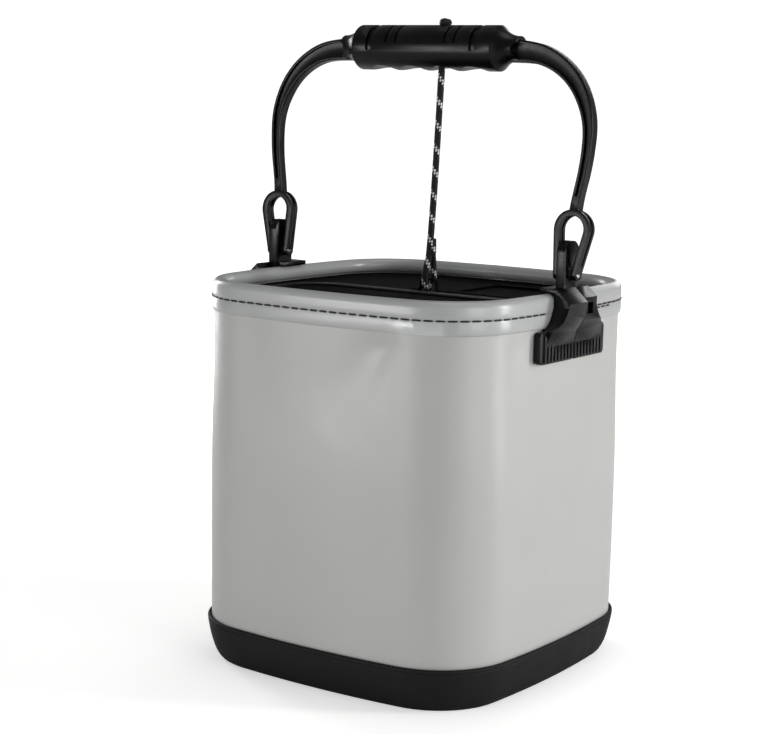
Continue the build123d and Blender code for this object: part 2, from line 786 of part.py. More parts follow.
tab_y = flap_back_y + tab_from_zipper
splice_z = bucket_height + splice_above_top
eye_low = cover_top + rope_radius + part_gap
eye_high = eye_low + 2 * eye_radius
rope_start = leaned_point(rope_x, grip_rise - grip_radius - 0.3)
splice = (tab_x + 3.2, tab_y - 3.6, splice_z)
rope_end = (tab_x + 2.7, tab_y - 1.0, splice_z - rope_radius)
rope_route = (
    rope_start,
    splice,
    (tab_x + 0.6, tab_y - eye_radius - 0.7, eye_high + 1.5),
    (tab_x, tab_y - eye_radius, eye_low),
    (tab_x, tab_y + eye_radius, eye_low),
    (tab_x + 0.6, tab_y + eye_radius - 1.2, eye_high + 1.5),
    rope_end,
)


def route_radii(route):
    """The radius at each inner point: 0.45 of the shorter run over the tangent of half the turn."""
    radii = []
    for before, here, after in zip(route, route[1:], route[2:]):
        first = Vector(*here) - Vector(*before)
        second = Vector(*after) - Vector(*here)
        turn = first.get_angle(second)
        radii.append(0.45 * min(first.length, second.length) / tan(radians(turn / 2)))
    return radii


def rope():
    radii = route_radii(rope_route)
    path = FilletPolyline(*rope_route, radius=radii)
    print("rope radii", [round(r, 1) for r in radii], "length", round(path.length, 1))
    return sweep(Plane(origin=path @ 0, z_dir=path % 0) * Circle(rope_radius), path=path)


def rope_splice():
    """Where the rope's end is worked back into itself above the eye."""
    way = (Vector(*rope_start) - Vector(*splice)).normalized()
    base = Vector(*splice) + Vector(0, 1.0, -3.0)
    lower = Plane(origin=base, z_dir=way) * Circle(rope_radius + splice_swell[0])
    upper = Plane(origin=base + way * splice_length, z_dir=way) * Circle(rope_radius + splice_swell[1])
    return loft([lower, upper])


def rope_tab():
    """A narrow sewn strap that the rope's eye goes round."""
    low = eye_low + eye_radius - tab_sheet / 2
    foot_top = cover_top + tab_sheet
    y = (tab_y - tab_width / 2, tab_y + tab_width / 2)
    left = tab_x - tab_half_span
    right = tab_x + tab_half_span
    arch = block((left, right), y, (cover_top, low + tab_sheet))
    arch -= block((left + tab_sheet, right - tab_sheet), (y[0] - 1, y[1] + 1), (cover_top - 1, low))
    left_foot = block((left - tab_foot, left + tab_sheet), y, (cover_top, foot_top))
    right_foot = block((right - tab_sheet, right + tab_foot), y, (cover_top, foot_top))
    return arch + left_foot + right_foot


parts["rope"] = rope()
parts["rope_splice"] = rope_splice()
parts["rope_tab"] = rope_tab()

os.makedirs("parts", exist_ok=True)
for name, shape in parts.items():
    export_step(solid_of(shape), "parts/" + name + ".step")
    print(name, "solids", len(shape.solids()), "volume", round(shape.volume, 1))
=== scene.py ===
import math
import bmesh
import bpy
from mathutils import Matrix, Vector, noise


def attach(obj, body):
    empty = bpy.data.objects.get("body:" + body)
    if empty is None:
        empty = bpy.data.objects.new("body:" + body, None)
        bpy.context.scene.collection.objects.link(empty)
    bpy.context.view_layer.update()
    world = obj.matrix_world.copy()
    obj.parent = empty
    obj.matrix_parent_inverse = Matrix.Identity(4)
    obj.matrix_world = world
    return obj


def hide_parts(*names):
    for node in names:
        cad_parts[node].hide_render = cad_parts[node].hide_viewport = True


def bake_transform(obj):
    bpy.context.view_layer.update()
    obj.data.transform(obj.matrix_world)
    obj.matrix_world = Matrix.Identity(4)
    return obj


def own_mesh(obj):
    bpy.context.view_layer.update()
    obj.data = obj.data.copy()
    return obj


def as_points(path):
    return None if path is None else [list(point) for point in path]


# Collapsible square bucket: coated sheet wall in a foam tray, rolled rim, zipped cloth cover, clips and a
# bail handle. The lists of sizes are in millimetres, and makeObject turns them into metres. The rope's route,
# the knot's place, the ends of the fold, the lights and the camera are in metres.

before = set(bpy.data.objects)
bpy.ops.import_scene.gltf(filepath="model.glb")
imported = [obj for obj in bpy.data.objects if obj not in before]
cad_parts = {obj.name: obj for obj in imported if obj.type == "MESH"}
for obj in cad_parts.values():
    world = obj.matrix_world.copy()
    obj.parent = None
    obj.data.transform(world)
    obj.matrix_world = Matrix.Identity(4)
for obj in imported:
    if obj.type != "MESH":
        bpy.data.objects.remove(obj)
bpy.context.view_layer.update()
mm = 0.001


# Small helpers

def colour(hexText):
    channels = [int(hexText[i:i + 2], 16) / 255 for i in (1, 3, 5)]
    return [c / 12.92 if c <= 0.04045 else ((c + 0.055) / 1.055) ** 2.4 for c in channels] + [1.0]


def feed(tree, node, inputs):
    for key, value in inputs.items():
        if isinstance(value, bpy.types.NodeSocket):
            tree.links.new(value, node.inputs[key])
        else:
            node.inputs[key].default_value = value


def addNode(tree, kind, settings=None, inputs=None):
    node = tree.nodes.new("ShaderNode" + kind)
    for key, value in (settings or {}).items():
        setattr(node, key, value)
    feed(tree, node, inputs or {})
    return node


def startMaterial(name):
    made = bpy.data.materials.new(name)
    made.use_nodes = True
    return made, made.node_tree, made.node_tree.nodes["Principled BSDF"]


def ease(value, low, high):
    share = min(max((value - low) / (high - low), 0.0), 1.0)
    return share * share * (3 - 2 * share)


def makeObject(bm, name, material, scale=mm, smooth=True):
    bmesh.ops.scale(bm, vec=(scale, scale, scale), verts=bm.verts)
    mesh = bpy.data.meshes.new(name)
    bm.to_mesh(mesh)
    bm.free()
    for face in mesh.polygons:
        face.use_smooth = smooth
    mesh.materials.append(material)
    made = bpy.data.objects.new(name, mesh)
    bpy.context.scene.collection.objects.link(made)
    return made


def applyModifiers(obj):
    bpy.context.view_layer.update()
    final = bpy.data.meshes.new_from_object(obj.evaluated_get(bpy.context.evaluated_depsgraph_get()))
    obj.modifiers.clear()
    obj.data = final
    return obj


def loftRings(count, steps, place, closed=False, capped=False, uAt=None, vAt=None):
    # A ring of points, extruded once per step; place(index, step) gives each point in millimetres
    bm = bmesh.new()
    indexOf = bm.verts.layers.int.new("ringIndex")
    stepOf = bm.verts.layers.int.new("ringStep")
    ring = bmesh.ops.create_circle(bm, segments=count, radius=1)["verts"]
    for index, vert in enumerate(ring):
        vert[indexOf] = index
    edges = bm.edges[:]
    for step in range(steps):
        if step:
            grown = bmesh.ops.extrude_edge_only(bm, edges=edges)["geom"]
            ring = [item for item in grown if isinstance(item, bmesh.types.BMVert)]
            fresh = set(ring)
            edges = list({edge for vert in ring for edge in vert.link_edges
                          if edge.other_vert(vert) in fresh})
        for vert in ring:
            vert[stepOf] = step
            vert.co = place(vert[indexOf], step)
        if capped and step in (0, steps - 1):
            bmesh.ops.holes_fill(bm, edges=edges, sides=0)
    if uAt:
        uv = bm.loops.layers.uv.new("UVMap")
        for face in bm.faces:
            crosses = max(v[indexOf] for v in face.verts) - min(v[indexOf] for v in face.verts) > 1
            for loop in face.loops:
                index = loop.vert[indexOf]
                index = count if crosses and index == 0 else index
                loop[uv].uv = (uAt[index] * mm, vAt[loop.vert[stepOf]] * mm)
    if closed:
        bmesh.ops.remove_doubles(bm, verts=bm.verts, dist=1e-4)
    bmesh.ops.recalc_face_normals(bm, faces=bm.faces)
    return bm


def runningLength(points):
    total = [0.0]
    for before, after in zip(points, points[1:]):
        total.append(total[-1] + (Vector(after) - Vector(before)).length)
    return total


def roundedBlock(x, y, z, radius=0.0, picks=None):
    # A box between two values on each axis, with the upright edges that picks chooses rounded
    bm = bmesh.new()
    bmesh.ops.create_cube(bm, size=1)
    bmesh.ops.scale(bm, vec=(x[1] - x[0], y[1] - y[0], z[1] - z[0]), verts=bm.verts)
    bmesh.ops.translate(bm, vec=((x[0] + x[1]) / 2, (y[0] + y[1]) / 2, (z[0] + z[1]) / 2), verts=bm.verts)
    if radius:
        upright = [e for e in bm.edges if abs(e.verts[0].co.z - e.verts[1].co.z) > 0.1 * (z[1] - z[0])]
        upright = [e for e in upright if picks is None or picks(e.verts[0].co)]
        bmesh.ops.bevel(bm, geom=upright, offset=radius, segments=10, profile=0.5, affect="EDGES",
                        material=-1)
    return bm


def cutWith(target, cutter, operation):
    # Cuts a finished piece with another bmesh, once, and removes the cutter
    tool = makeObject(cutter, "cutter", target.data.materials[0])
    cut = target.modifiers.new("cut", "BOOLEAN")
    cut.operation = operation
    cut.solver = "EXACT"
    cut.object = tool
    applyModifiers(target)
    bpy.data.objects.remove(tool)
    return target


def finishPiece(obj, body, slotName, *replaced):
    if body:
        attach(obj, body)
    if replaced:
        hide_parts(*replaced)
    return obj


# The bucket's plan: four slightly bowed sides and round corners. Share 0 is the middle of the far side,
# 0.25 the right, 0.5 the near side; grow is a distance outwards from the collar's face.

plan = {"reach": 102.7, "sideRadius": 600.0, "cornerRadius": 48.0}
planRest = plan["sideRadius"] - plan["reach"]
planGap = plan["sideRadius"] - plan["cornerRadius"]
planCentre = (math.sqrt(2 * planGap ** 2 - planRest ** 2) - planRest) / 2
planTurn = math.asin(planCentre / planGap)
planHalf = plan["sideRadius"] * planTurn
planBend = plan["cornerRadius"] * (math.pi / 2 - 2 * planTurn)
perimeter = 4 * (2 * planHalf + planBend)


def planPoint(share, grow, z):
    quarter, along = divmod(share * 4 % 4, 1)
    along *= 2 * planHalf + planBend
    if along < planHalf:
        middle, radius, turn = (0, -planRest), plan["sideRadius"], along / plan["sideRadius"]
    elif along < planHalf + planBend:
        middle, radius = (planCentre, planCentre), plan["cornerRadius"]
        turn = planTurn + (along - planHalf) / radius
    else:
        middle, radius = (-planRest, 0), plan["sideRadius"]
        turn = math.pi / 2 - (2 * planHalf + planBend - along) / radius
    x = middle[0] + (radius + grow) * math.sin(turn)
    y = middle[1] + (radius + grow) * math.cos(turn)
    back = -math.pi / 2 * quarter
    return Vector((x * math.cos(back) - y * math.sin(back), x * math.sin(back) + y * math.cos(back), z))


def sweepRound(profile, around, closed=True, capped=False, shift=None):
    # Carries a profile of (grow, height) points round the plan; shift(share, grow, z) moves a point outwards
    points = profile + profile[:1] if closed else profile

    def place(index, step):
        share = index / around
        grow, z = points[step]
        return planPoint(share, grow + (shift(share, grow, z) if shift else 0), z)

    spread = [perimeter * i / around for i in range(around + 1)]
    return loftRings(around, len(points), place, closed, capped, spread, runningLength(points))


def arcPoints(middle, radius, start, end, count):
    turns = [math.radians(start + (end - start) * i / (count - 1)) for i in range(count)]
    return [(middle[0] + radius * math.cos(t), middle[1] + radius * math.sin(t)) for t in turns]


# Materials

def noiseOf(tree, place, scale, detail=2.0, roughness=0.5):
    inputs = {"Vector": place, "Scale": scale, "Detail": detail, "Roughness": roughness}
    return addNode(tree, "TexNoise", inputs=inputs).outputs[0]


def remap(tree, value, span, low, high):
    inputs = {"Value": value, 1: span[0], 2: span[1], 3: low, 4: high}
    return addNode(tree, "MapRange", inputs=inputs).outputs[0]


def mixed(tree, share, first, second):
    ends = [colour(end) if isinstance(end, str) else end for end in (first, second)]
    return addNode(tree, "Mix", {"data_type": "RGBA"}, {0: share, 6: ends[0], 7: ends[1]}).outputs[2]


def scaled(tree, shade, factor):
    return addNode(tree, "VectorMath", {"operation": "SCALE"}, {0: shade, "Scale": factor}).outputs[0]


def multiplied(tree, first, second):
    return addNode(tree, "Math", {"operation": "MULTIPLY"}, {0: first, 1: second}).outputs[0]


def bumpOf(tree, height, strength, depth):
    inputs = {"Height": height, "Strength": strength, "Distance": depth * mm}
    return addNode(tree, "Bump", inputs=inputs).outputs[0]


def makeCoatedSheet(name, baseHex, roughness, patchName=None):
    # PVC-coated polyester sheet: an even satin grey with soft broad highlights and a faint orange peel
    made, tree, shader = startMaterial(name)
    place = addNode(tree, "TexCoord").outputs["Object"]
    cloudy = noiseOf(tree, place, 14.0, 3.0)     # 70 mm clouds
    peel = noiseOf(tree, place, 420.0)     # 2.4 mm peel
    scuff = noiseOf(tree, place, 60.0, 6.0, 0.7)
    shade = scaled(tree, colour(baseHex)[:3], remap(tree, cloudy, (0.3, 0.7), 0.965, 1.02))
    gloss = remap(tree, scuff, (0.3, 0.75), roughness - 0.03, roughness + 0.05)
    # Where a patch is given: lower roughness, and a colour up to 1.3 times paler, a painted highlight that
    # stands in for a reflection on the hem
    if patchName:
        patch = addNode(tree, "Attribute", {"attribute_name": patchName}).outputs["Fac"]
        gloss = remap(tree, patch, (0.0, 1.0), gloss, 0.16)
        shade = scaled(tree, shade, remap(tree, patch, (0.0, 1.0), 1.0, 1.3))
    feed(tree, shader, {"Base Color": shade, "Roughness": gloss, "Normal": bumpOf(tree, peel, 0.05, 0.3),
                        "IOR": 1.53, "Coat Weight": 0.12, "Coat Roughness": 0.3})
    return made


def makeMoulded(name, baseHex, roughness, grain, bumpDepth, specular=0.5, rubHex=None):
    # Moulded plastic or foam: a fine grain breaks up the highlights, and handling marks are a little paler
    made, tree, shader = startMaterial(name)
    place = addNode(tree, "TexCoord").outputs["Object"]
    fine = noiseOf(tree, place, 1 / (grain * mm), 3.0, 0.6)
    broad = noiseOf(tree, place, 45.0, 5.0, 0.65)
    shade = mixed(tree, remap(tree, broad, (0.48, 0.8), 0.0, 0.75), baseHex, rubHex or baseHex)
    gloss = remap(tree, broad, (0.3, 0.75), roughness - 0.04, roughness + 0.09)
    feed(tree, shader, {"Base Color": shade, "Roughness": gloss, "IOR": 1.5, "Specular IOR Level": specular,
                        "Normal": bumpOf(tree, fine, 0.35, bumpDepth)})
    return made


def makeWoven(name, baseHex, liftHex, pitch, fromUv=False):
    # Plain-woven polyester: crossing threads catch the light in small squares and leave the cloth dull and
    # dark. The real threads are about 0.4 mm apart, drawn coarser so that they show
    made, tree, shader = startMaterial(name)
    place = addNode(tree, "TexCoord").outputs["UV" if fromUv else "Object"]
    threads = {"Vector": place, "Scale": 0.314 / (pitch * mm), "Distortion": 0.35, "Detail": 1.0,
               "Detail Scale": 2.0}
    bands = []
    for axis in ("X", "Y"):
        wave = {"wave_type": "BANDS", "bands_direction": axis, "wave_profile": "SIN"}
        bands.append(addNode(tree, "TexWave", wave, threads).outputs["Fac"])
    woven = multiplied(tree, *bands)
    clouds = noiseOf(tree, place, 35.0, 4.0)
    shade = mixed(tree, multiplied(tree, woven, clouds), baseHex, liftHex)
    feed(tree, shader, {"Base Color": shade, "Roughness": 0.9, "Normal": bumpOf(tree, woven, 0.5, 0.3),
                        "Specular IOR Level": 0.03})
    return made


def makeMetal(name, baseHex, metallic, roughness, stretch):
    # Turned or die-cast metal with fine drawn marks along one axis, glinting at its edges
    made, tree, shader = startMaterial(name)
    place = addNode(tree, "TexCoord").outputs["Object"]
    drawn = addNode(tree, "Mapping", inputs={"Vector": place, "Scale": stretch}).outputs[0]
    marks = noiseOf(tree, drawn, 900.0, 3.0)
    gloss = remap(tree, marks, (0.3, 0.7), roughness - 0.06, roughness + 0.1)
    feed(tree, shader, {"Base Color": colour(baseHex), "Metallic": metallic, "Roughness": gloss,
                        "Normal": bumpOf(tree, marks, 0.12, 0.1)})
    return made


def makeThread(name, baseHex, liftHex):
    # Bonded polyester thread: a hard twisted strand with a slight gloss. Its 0.5 mm twist is drawn at 1.2 mm
    made, tree, shader = startMaterial(name)
    place = addNode(tree, "TexCoord").outputs["Object"]
    strands = {"Vector": place, "Scale": 260.0, "Distortion": 0.5}
    twist = addNode(tree, "TexWave", {"bands_direction": "DIAGONAL"}, strands).outputs["Fac"]
    feed(tree, shader, {"Base Color": mixed(tree, twist, baseHex, liftHex), "Roughness": 0.55,
                        "Normal": bumpOf(tree, twist, 0.6, 0.3)})
    return made


def makeBraid(name):
    # Braided polyester cord: black with white tracer strands, matt, with a fuzz of fine fibres at its edge
    made, tree, shader = startMaterial(name)
    place = addNode(tree, "TexCoord").outputs["Object"]
    tracer = addNode(tree, "Attribute", {"attribute_name": "tracer"}).outputs["Fac"]
    fibre = noiseOf(tree, place, 2600.0)     # 0.4 mm fibres
    white = mixed(tree, fibre, "#c9cac6", "#f4f4f0")
    black = mixed(tree, fibre, "#08090a", "#1b1c1e")
    feed(tree, shader, {"Base Color": mixed(tree, tracer, black, white), "Roughness": 0.75,
                        "Normal": bumpOf(tree, fibre, 0.5, 0.2), "Specular IOR Level": 0.3,
                        "Sheen Weight": 0.15, "Sheen Roughness": 0.4})
    return made


wallSheet = makeCoatedSheet("pvcCoatedSheet", "#b4b5b2", 0.4)
# The collar's glossy patch also carries a painted highlight, a paler colour
collarSheet = makeCoatedSheet("pvcCoatedCollar", "#aaacab", 0.3, "glossAndPaintedHighlight")
trayFoam = makeMoulded("mouldedEvaFoam", "#111212", 0.66, 0.9, 0.12, 0.22, "#191a1a")
clipNylon = makeMoulded("mouldedNylon", "#040405", 0.27, 0.5, 0.02, 0.24, "#0a0a0b")
handlePlastic = makeMoulded("mouldedPolypropylene", "#040405", 0.3, 0.6, 0.03, 0.24, "#0a0b0c")
backingPlastic = makeMoulded("mouldedBacking", "#17181a", 0.5, 0.6, 0.04, 0.4, "#222325")
coverCloth = makeWoven("wovenPolyester", "#09090b", "#2b2d31", 1.3)
bindingCloth = makeWoven("wovenBinding", "#0b0b0d", "#2c2e32", 1.6, fromUv=True)
tapeCloth = makeWoven("wovenZipTape", "#070708", "#232427", 1.1, fromUv=True)
meshNylon = makeMoulded("knittedNylonNet", "#060607", 0.7, 0.8, 0.05, 0.06, "#0d0e0f")
coilNylon = makeMoulded("nylonCoil", "#0e0f10", 0.38, 0.8, 0.03, 0.5, "#191a1c")
blackZinc = makeMetal("blackLacqueredZinc", "#17181a", 0.55, 0.32, (1.0, 0.2, 1.0))
plainSteel = makeMetal("zincPlatedSteel", "#b6b8ba", 1.0, 0.3, (0.2, 1.0, 1.0))
rodPlastic = makeMoulded("extrudedRod", "#3a3c3e", 0.5, 0.8, 0.03)
stitchThread = makeThread("bondedThread", "#101114", "#141416")
ropeBraid = makeBraid("braidedPolyester")
print("materials made")


# Base: foam tray, sheet wall and its lapped seam

tray = {"around": 288, "wave": 0.18, "waveSize": 38,
        "side": ((-7.2, 0.0), (-6.4, 0.15), (-5.3, 0.8), (-4.0, 2.2), (-2.7, 4.3), (-1.5, 7.0), (-0.4, 10.2),
                 (0.6, 13.9), (1.4, 17.6), (2.0, 20.8), (2.3, 22.6), (2.32, 23.1), (1.9, 23.45),
                 (1.95, 23.75), (2.42, 24.0), (2.5, 24.5), (2.4, 25.3), (1.95, 25.85), (1.4, 26.0),
                 (0.8, 25.8), (0.35, 25.2), (0.15, 24.0)),
        "inside": ((0.15, 17.5), (-1.25, 13.5), (-1.25, 12.0), (-2.6, 12.0), (-4.2, 8.5), (-5.4, 5.0))}


def trayWave(share, grow, z):
    if grow <= 0.2:
        return 0.0
    spot = planPoint(share, grow, z)
    return tray["wave"] * noise.noise(spot / tray["waveSize"]) * ease(z, 2, 12) * (1 - ease(z, 22, 25))


def makeTray():
    # The side leans out to a rolled lip with a fine line under it, and steps in below where the wall sits
    bm = sweepRound(tray["side"] + tray["inside"], tray["around"], closed=False, capped=True, shift=trayWave)
    return finishPiece(makeObject(bm, "foam_tray", trayFoam), "base", "tray_foam", "base_tray")


wall = {"outer": -1.3, "inner": -2.5, "bottom": 12.2, "top": 217.0, "steps": 46, "around": 256,
        "fullness": 1.42, "fullFrom": (13, 18), "fullTo": (120, 188),
        "wave": 0.35, "waveFrom": (28, 70), "waveTo": (150, 190), "waveWidth": 52, "waveHeight": 90,
        "clipShares": (0.055, 0.095), "clipFrom": (60, 85), "collarFrom": (201.5, 208.5)}
dents = (   # share and height at the deep end, the same at the shallow end, width there and depth
    (0.44, 206, 0.492, 148, 10, 3.0), (0.562, 200, 0.558, 120, 12, 0.6), (0.326, 200, 0.318, 140, 9, 1.0),
    (0.09, 200, 0.06, 160, 12, 0.9), (0.81, 196, 0.80, 150, 12, 0.8),
)
seam = {"share": 5.0 / perimeter, "width": 14.0, "thick": 0.8, "low": 26.3, "high": 208.9, "steps": 40}


def dentDepth(share, z):
    # Shallow troughs that widen and fade from one end to the other
    total = 0.0
    for share0, z0, share1, z1, width, depth in dents:
        here = Vector(((share - share0) * perimeter, z - z0))
        run = Vector(((share1 - share0) * perimeter, z1 - z0))
        along = min(1.0, max(0.0, here.dot(run) / run.length_squared))
        away = (here - run * along).length / (width * (1 + along))
        total += depth * (1 - along) * math.exp(-away * away)
    return total * (1 - ease(z, *wall["collarFrom"]))


def wallWave(share, grow, z):
    # The sheet stands a little full between the tray and the clips, with long soft undulations. Under the
    # clips it is flat, so that they pass it when the bucket is folded
    spot = planPoint(share, 0, z)
    fromClip = abs(share % 0.5 - 0.25)
    free = 1 - (1 - ease(fromClip, *wall["clipShares"])) * ease(z, *wall["clipFrom"])
    full = wall["fullness"] * ease(z, *wall["fullFrom"]) * (1 - ease(z, *wall["fullTo"])) * free
    held = ease(z, *wall["waveFrom"]) * (1 - ease(z, *wall["waveTo"])) * free
    place = Vector((spot.x / wall["waveWidth"], spot.y / wall["waveWidth"], z / wall["waveHeight"]))
    return full - dentDepth(share, z) + wall["wave"] * noise.noise(place) * held


def foldWall(obj, top):
    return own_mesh(obj)


def makeWall():
    bottom, top, steps = wall["bottom"], wall["top"], wall["steps"]
    rise = [bottom + (top - bottom) * i / steps for i in range(steps + 1)]
    profile = [(wall["outer"], z) for z in rise] + [(wall["inner"], z) for z in rise[::-1]]
    made = makeObject(sweepRound(profile, wall["around"], shift=wallWave), "wall_sheet", wallSheet)
    finishPiece(made, "base", "wall_sheet", "sheet_wall")
    return foldWall(made, top)


def makeSeam():
    # The wall's lap on the far side: a welded strip with thinned edges
    profile = [(-0.5, 0.02), (-0.46, 0.5), (-0.3, 0.78), (0.0, 0.8), (0.3, 0.78), (0.46, 0.5), (0.5, 0.02),
               (0.0, -0.02)]

    def place(index, step):
        across, out = profile[index]
        z = seam["low"] + (seam["high"] - seam["low"]) * step / (seam["steps"] - 1)
        share = (seam["share"] + across * seam["width"] / perimeter) % 1
        return planPoint(share, wall["outer"] + wallWave(share, 0, z) + out * seam["thick"], z)

    bm = loftRings(len(profile), seam["steps"], place, capped=True)
    made = finishPiece(makeObject(bm, "wall_lap_seam", wallSheet), "base", "wall_sheet", "wall_seam")
    return foldWall(made, seam["high"])


makeTray()
makeWall()
makeSeam()
print("base made")


# Rim: rolled collar, stitching and the binding under it

# The hem's patch at the near corner, between its two shares, is glossier and carries a painted highlight
collar = {"rollRadius": 4.25, "rollHeight": 223.45, "skin": -1.0, "hem": 209.2, "stitchHeight": 217.4,
          "around": 420, "pillow": 0.07, "loose": 0.16, "lapShares": (0.982, 0.994), "lapRise": 0.6,
          "lapEdge": 0.0015, "puckerShares": (0.33, 0.45), "pucker": 0.28, "glossAndHighlightShares": (0.386, 0.433)}
stitch = {"pitch": 6.5, "length": 5.6, "radius": 0.52, "grow": 0.05, "doubled": (0.175, 0.205),
          "doubledDrop": 1.5, "skipX": 90.7, "skipFrom": -20.0, "skipTo": 24.0, "clipY": -4.0, "sway": 0.05}


def collarWave(share, grow, z):
    # The hem's pillow between stitches, a lapped joint on the roll, and the puckers round the near corner
    count = perimeter / stitch["pitch"]
    fromStitch = abs(z - collar["stitchHeight"])
    pillow = collar["pillow"] * math.cos(2 * math.pi * share * count) * (1 - ease(fromStitch, 0.4, 3.0))
    (low, high), edge = collar["lapShares"], collar["lapEdge"]
    inLap = ease(share, low, low + edge) * (1 - ease(share, high - edge, high))
    lap = collar["lapRise"] * inLap * ease(z, 219, 222)
    spot = planPoint(share, 0, z)
    loose = collar["loose"] * noise.noise(Vector((spot.x / 24, spot.y / 24, z / 14)))
    first, last = collar["puckerShares"]
    near = ease(share, first, first + 0.02) * (1 - ease(share, last - 0.02, last)) * (1 - ease(z, 213, 217.5))
    pucker = collar["pucker"] * noise.noise(Vector((share * 190, z / 9, 5.0))) * near
    outside = grow > -0.6 or z > 219.5
    return pillow + lap + loose + pucker if outside else 0.0


def makeCollar():
    roll, height, hem = collar["rollRadius"], collar["rollHeight"], collar["hem"]
    profile = [(-0.75, hem), (-0.3, hem + 0.05), (-0.02, hem + 0.4), (0.1, hem + 1.2), (0.18, hem + 2.6),
               (0.2, hem + 4.0), (0.14, hem + 5.6), (-0.02, hem + 7.0), (-0.2, hem + 7.9), (-0.27, hem + 8.2),
               (-0.2, hem + 8.5), (-0.04, hem + 9.3), (0.08, hem + 10.4), (0.1, hem + 11.8)]
    profile += arcPoints((-roll, height), roll, -8, 318, 26)
    profile += [(collar["skin"], hem + z) for z in (10.5, 8.2, 5.0, 2.0, 0.3)]
    bm = sweepRound(profile, collar["around"], shift=collarWave)
    # Patch at the near corner's hem: glossier, with a painted highlight in its colour
    gloss = bm.verts.layers.float.new("glossAndPaintedHighlight")
    indexOf = bm.verts.layers.int["ringIndex"]
    first, last = collar["glossAndHighlightShares"]
    for vert in bm.verts:
        share = vert[indexOf] / collar["around"]
        across = ease(share, first, first + 0.004) * (1 - ease(share, last - 0.012, last))
        vert[gloss] = across * (1 - ease(vert.co.z, 216.0, 217.0))
    return finishPiece(makeObject(bm, "rolled_collar", collarSheet), "rim", "collar_sheet", "rim_collar")


def addDash(bm, share, drop):
    # One stitch: a short strand along the hem, with blunt ends
    height = collar["stitchHeight"] + drop
    spot = planPoint(share, stitch["grow"], height)
    way = (planPoint((share + 0.002) % 1, stitch["grow"], height) - spot).normalized()
    sway = stitch["sway"] * noise.noise(Vector((share * 300, drop, 1.0)))
    for vert in bmesh.ops.create_uvsphere(bm, u_segments=8, v_segments=6, radius=1)["verts"]:
        along = vert.co.z * stitch["length"] / 2
        blunt = min(1.5, 1 / max(0.3, math.sqrt(1 - min(vert.co.z ** 2, 0.99))))
        side = vert.co.x * stitch["radius"] * blunt
        rise = vert.co.y * stitch["radius"] * blunt + along * sway
        out = Vector((way.y, -way.x, 0)) * (side if side > 0 else side * 0.8)
        vert.co = spot + way * along - out * 0.9 + Vector((0, 0, rise))


def makeStitches():
    bm = bmesh.new()
    count = int(perimeter / stitch["pitch"])
    rows = [(i / count, 0.0) for i in range(count)]
    low, high = stitch["doubled"]
    rows += [(share + 0.4 / count, -stitch["doubledDrop"]) for share, drop in rows if low < share < high]
    for share, drop in rows:
        spot = planPoint(share, stitch["grow"], 0)
        fromClip = (spot.y - stitch["clipY"]) * (1 if spot.x > 0 else -1)
        if abs(spot.x) <= stitch["skipX"] or not stitch["skipFrom"] < fromClip < stitch["skipTo"]:
            addDash(bm, share, drop)
    bmesh.ops.recalc_face_normals(bm, faces=bm.faces)
    return finishPiece(makeObject(bm, "collar_thread", stitchThread), "rim", "thread", "collar_stitching")


binding = {"outer": -2.8, "inner": -4.2, "low": 208.0, "top": 218.3, "around": 256,
           "lumps": (0.963, 0.025), "lumpRise": 0.5, "lumpHalf": 7}


def bindingWave(share, grow, z):
    spot = planPoint(share, 0, z)
    lump = 0.0
    for middle in binding["lumps"]:
        away = perimeter * min(abs(share - middle), 1 - abs(share - middle)) / binding["lumpHalf"]
        lump += binding["lumpRise"] * max(0.0, 1 - away ** 2)
    inside = 1.0 if grow < -3.6 else 0.0
    return 0.12 * noise.noise(spot / 15) - lump * inside * ease(z, 212, 216)


def makeBinding():
    outer, inner, low, top = (binding[k] for k in ("outer", "inner", "low", "top"))
    middle = (outer + inner) / 2
    profile = [(outer, low + 0.4), (outer, 212), (outer, 215), (outer, top - 0.8),
               (middle + 0.35, top - 0.15), (middle, top), (middle - 0.35, top - 0.15),
               (inner, top - 0.8), (inner, 215), (inner, 212), (inner, low + 0.4), (middle, low)]
    bm = sweepRound(profile, binding["around"], shift=bindingWave)
    return finishPiece(makeObject(bm, "cover_edge_binding", bindingCloth), "rim", "binding", "cover_binding")


makeCollar()
makeStitches()
makeBinding()
print("rim made")


# Cover: fixed panel, flap, folded hinge cloth, mesh window and zipper

cover = {"edge": -4.2, "top": 218.0, "thick": 1.0, "cell": 2.2, "reach": 104.0, "flat": (197, 197),
         "wrinkle": 0.45, "half": 98, "zipHeld": (8, 26), "edgeHeld": (4, 20), "hingeHeld": (3, 18)}
flap = {"front": -65.5, "notchX": (79.0, 100), "notchY": (-56, -42.5), "flat": (160.8, 66.4)}
fold = {"x": (-80.2, 80.2), "y": (-71.0, -63.4), "lift": 0.25, "thick": 0.6, "across": 40, "steps": 14,
        "start": (0, -0.0695, 0.2187), "end": (0, -0.0655, 0.2187)}
zipper = {"half": 83.5, "hinge": -68.0, "back": 4.0, "corner": 22.0, "cut": 3.1, "tapeIn": 2.8,
          "tapeOut": 7.2, "pitch": 1.7, "toothNear": 0.32, "toothFar": 3.0, "toothHeight": 218.45,
          "toothWide": 0.62, "toothTall": 0.95, "toothSlant": 0.18, "freeBelow": -41.5}
window = {"x": (4.0, 64.0), "y": (21.0, 77.0), "lap": 3.0, "top": 217.0, "thick": 0.5, "columns": 22,
          "rows": 20, "bar": 0.62, "leastGap": 1.2}
windowHem = {"past": 1.5, "wide": 6.2, "corner": 4.0, "thick": 0.5}
cutRange = (190, 240)     # heights well past the cover, below and above
seatLift = 0.02     # what lies on the cover starts this far above it
zipLeg = zipper["back"] - zipper["corner"] - zipper["hinge"]
zipBend = math.pi / 2 * zipper["corner"]
zipAcross = 2 * (zipper["half"] - zipper["corner"])
zipLength = 2 * zipLeg + 2 * zipBend + zipAcross


